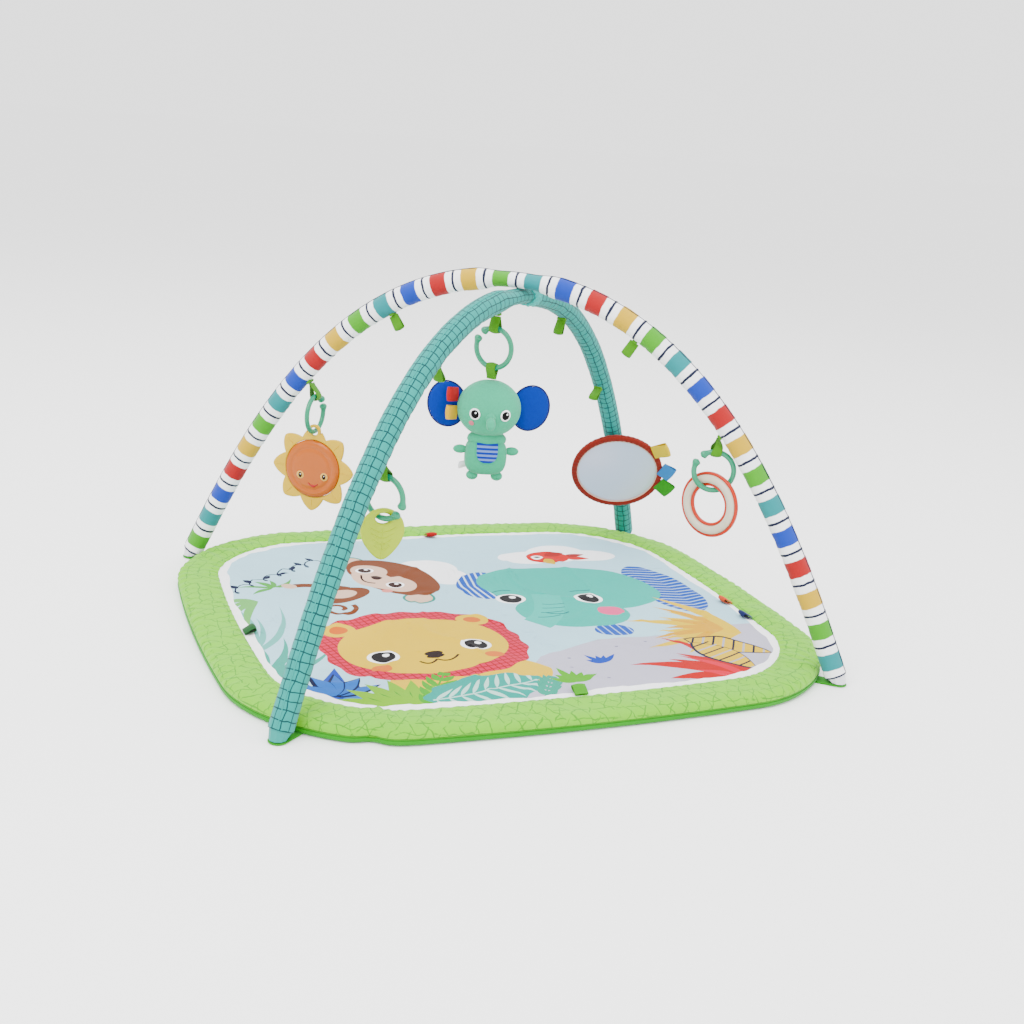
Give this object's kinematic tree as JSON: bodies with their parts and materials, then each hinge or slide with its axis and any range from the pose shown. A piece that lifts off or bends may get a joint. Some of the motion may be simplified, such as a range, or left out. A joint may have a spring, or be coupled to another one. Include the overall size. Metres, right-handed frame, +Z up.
{
  "type": "activity play gym",
  "caption": "Quilted floor mat with two crossing padded arches and hanging toys: plush elephant, sun, leaf, ring rattle and mirror",
  "frame": {"origin": "on the floor under the middle of the mat", "axes": "+X along the mat's front edge to the right, +Y to the back, +Z up"},
  "size_m": [0.8594, 0.7594, 0.4993],
  "materials": {
    "border_fabric": "soft quilted microfibre, lime with a fine darker triangle print",
    "backing_fabric": "plain woven green backing and edge",
    "batting": "loose polyester wadding",
    "print_fabric": "printed soft woven polyester, animals and leaves on pale blue",
    "snap_metal": "satin pressed snap stud",
    "striped_fabric": "woven polyester, white with coloured bands and thin dark lines",
    "teal_fabric": "woven polyester, teal with a thin dark drawn grid",
    "strap_fabric": "plain gathered woven polyester",
    "foam": "open-cell foam tube",
    "rod": "pultruded fibre-reinforced rod",
    "ferrule": "drawn tube",
    "end_cap": "moulded plug covered in the sleeve's fabric",
    "ribbon": "satin-edged woven ribbon",
    "link_plastic": "moulded, satin gloss",
    "sun_face": "translucent soft moulding, orange",
    "sun_petals": "translucent soft moulding, yellow",
    "leaf": "soft moulded teether, yellow-green",
    "rattle_rim": "moulded, orange",
    "rattle_window": "clear frosted moulding",
    "beads": "small glossy beads",
    "plush_mint": "short-pile stuffed fabric, mint",
    "plush_blue": "short-pile stuffed fabric, blue",
    "mirror_fabric": "padded woven cover, rust red",
    "mirror_film": "shatterproof mirror film"
  },
  "bodies": {
    "mat": {"mat_backing": "backing_fabric", "mat_batting": "batting", "mat_border": "border_fabric", "mat_print_panel": "print_fabric", "snap_stud_front_left": "snap_metal", "snap_stud_front_right": "snap_metal", "snap_stud_back_right": "snap_metal", "snap_stud_back_left": "snap_metal"},
    "arch_frame": {"striped_sleeve": "striped_fabric", "striped_foam": "foam", "striped_rod_ferrule": "ferrule", "striped_rod_back_left": "rod", "striped_rod_front_right": "rod", "teal_sleeve": "teal_fabric", "teal_foam": "foam", "teal_rod_ferrule": "ferrule", "teal_rod_front_left": "rod", "teal_rod_back_right": "rod", "end_cap_back_left": "end_cap", "end_cap_front_right": "end_cap", "end_cap_front_left": "end_cap", "end_cap_back_right": "end_cap", "crossing_strap": "strap_fabric", "striped_loop_1": "ribbon", "striped_loop_2": "ribbon", "striped_loop_3": "ribbon", "striped_loop_4": "ribbon", "teal_loop_1": "ribbon", "teal_loop_2": "ribbon", "teal_loop_3": "ribbon", "teal_loop_4": "ribbon", "teal_loop_5": "ribbon"},
    "sun_link": {"sun_link": "link_plastic"},
    "sun": {"sun_petals": "sun_petals", "sun_face": "sun_face"},
    "leaf_link": {"leaf_link": "link_plastic"},
    "leaf": {"leaf_teether": "leaf"},
    "elephant_link": {"elephant_link": "link_plastic"},
    "elephant": {"elephant_hanger": "ribbon", "elephant_head": "plush_mint", "elephant_body": "plush_mint", "elephant_arm_left": "plush_mint", "elephant_arm_right": "plush_mint", "elephant_foot_left": "plush_mint", "elephant_foot_right": "plush_mint", "elephant_trunk": "plush_mint", "elephant_ear_left": "plush_blue", "elephant_ear_right": "plush_blue"},
    "rattle_link": {"rattle_link": "link_plastic"},
    "rattle": {"rattle_outer_rim": "rattle_rim", "rattle_inner_rim": "rattle_rim", "rattle_front_window": "rattle_window", "rattle_back_window": "rattle_window"},
    "rattle_beads": {"rattle_bead_1": "beads", "rattle_bead_2": "beads", "rattle_bead_3": "beads"},
    "mirror": {"mirror_strap": "mirror_fabric", "mirror_back": "mirror_fabric", "mirror_frame": "mirror_fabric", "mirror_pane": "mirror_film"}
  },
  "joints": [
    {"name": "frame_lift", "type": "slide", "parent": "mat", "child": "arch_frame", "axis": [0, 0, 1], "range_m": [0, 0.2]},
    {"name": "sun_link_swing", "type": "hinge", "parent": "arch_frame", "child": "sun_link", "pos_m": [-0.22619, 0.19107, 0.28636], "axis": [-0.6452, -0.764, 0], "range_deg": [-6, 50]},
    {"name": "sun_swing", "type": "hinge", "parent": "sun_link", "child": "sun", "pos_m": [-0.22619, 0.19107, 0.23336], "axis": [-0.6452, -0.764, 0], "range_deg": [-6, 40]},
    {"name": "leaf_link_swing", "type": "hinge", "parent": "arch_frame", "child": "leaf_link", "pos_m": [-0.23489, -0.19842, 0.27323], "axis": [0.6452, -0.764, 0], "range_deg": [-15, 45]},
    {"name": "leaf_swing", "type": "hinge", "parent": "leaf_link", "child": "leaf", "pos_m": [-0.23489, -0.19842, 0.22023], "axis": [0.6452, -0.764, 0], "range_deg": [-15, 25]},
    {"name": "elephant_link_swing", "type": "hinge", "parent": "arch_frame", "child": "elephant_link", "pos_m": [-0.04279, -0.03615, 0.42842], "axis": [0.6452, -0.764, 0], "range_deg": [-35, 35]},
    {"name": "elephant_swing", "type": "hinge", "parent": "elephant_link", "child": "elephant", "pos_m": [-0.04279, -0.03615, 0.37542], "axis": [0.6452, -0.764, 0], "range_deg": [-25, 25]},
    {"name": "rattle_link_swing", "type": "hinge", "parent": "arch_frame", "child": "rattle_link", "pos_m": [0.22684, -0.19162, 0.29405], "axis": [0.891, -0.454, 0], "range_deg": [-32, 36]},
    {"name": "rattle_swing", "type": "hinge", "parent": "rattle_link", "child": "rattle", "pos_m": [0.22684, -0.19162, 0.24105], "axis": [0.891, -0.454, 0], "range_deg": [-20, 20]},
    {"name": "rattle_bead_roll", "type": "hinge", "parent": "rattle", "child": "rattle_beads", "pos_m": [0.22684, -0.19162, 0.22085], "axis": [-0.9063, -0.4226, 0], "continuous": true},
    {"name": "mirror_turn", "type": "hinge", "parent": "arch_frame", "child": "mirror", "pos_m": [0.32498, 0.27452, 0.15756], "axis": [0.3718, 0.3139, -0.8736], "range_deg": [-35, 35]}
  ]
}
